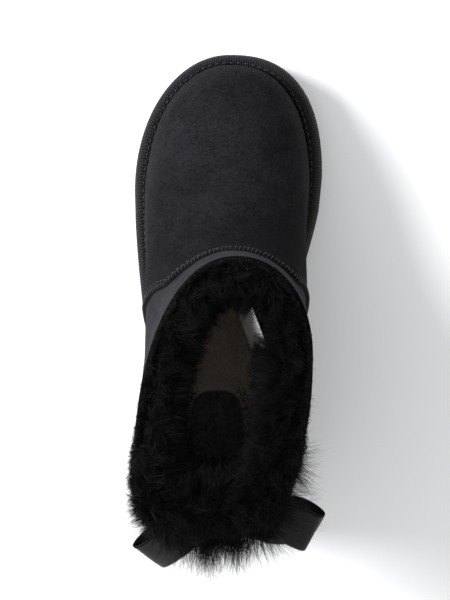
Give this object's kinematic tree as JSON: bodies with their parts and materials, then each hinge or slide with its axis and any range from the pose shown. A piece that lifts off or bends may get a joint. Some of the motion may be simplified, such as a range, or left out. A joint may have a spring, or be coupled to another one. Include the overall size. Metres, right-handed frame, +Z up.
{
  "type": "sheepskin ankle boot",
  "caption": "Low pull-on sheepskin boot for the left foot: round toe, fur-lined collar, woven foot binding, lugged outsole and a satin ribbon bow behind the shaft.",
  "frame": {"origin": "on the floor under the middle of the heel, on the heel lug", "axes": "+Y towards the toe, +Z up out of the collar, +X towards the inner side of this left boot"},
  "size_m": [0.1124, 0.2949, 0.1639],
  "materials": {
    "foam_rubber": "matt moulded",
    "wool_pile": "short wool pile",
    "woven_tape": "twill weave",
    "suede": "napped suede",
    "black_fur": "long wool pile",
    "satin": "satin",
    "pale_cloth": "woven label cloth"
  },
  "bodies": {
    "root": {"outsole": "foam_rubber", "insole": "wool_pile", "binding": "woven_tape", "upper": "suede", "fur_collar": "black_fur", "bow_knot": "satin", "bow_loop_inner": "satin", "bow_loop_outer": "satin", "bow_tail_inner": "satin", "bow_tail_outer": "satin", "size_tag": "pale_cloth"}
  },
  "joints": []
}
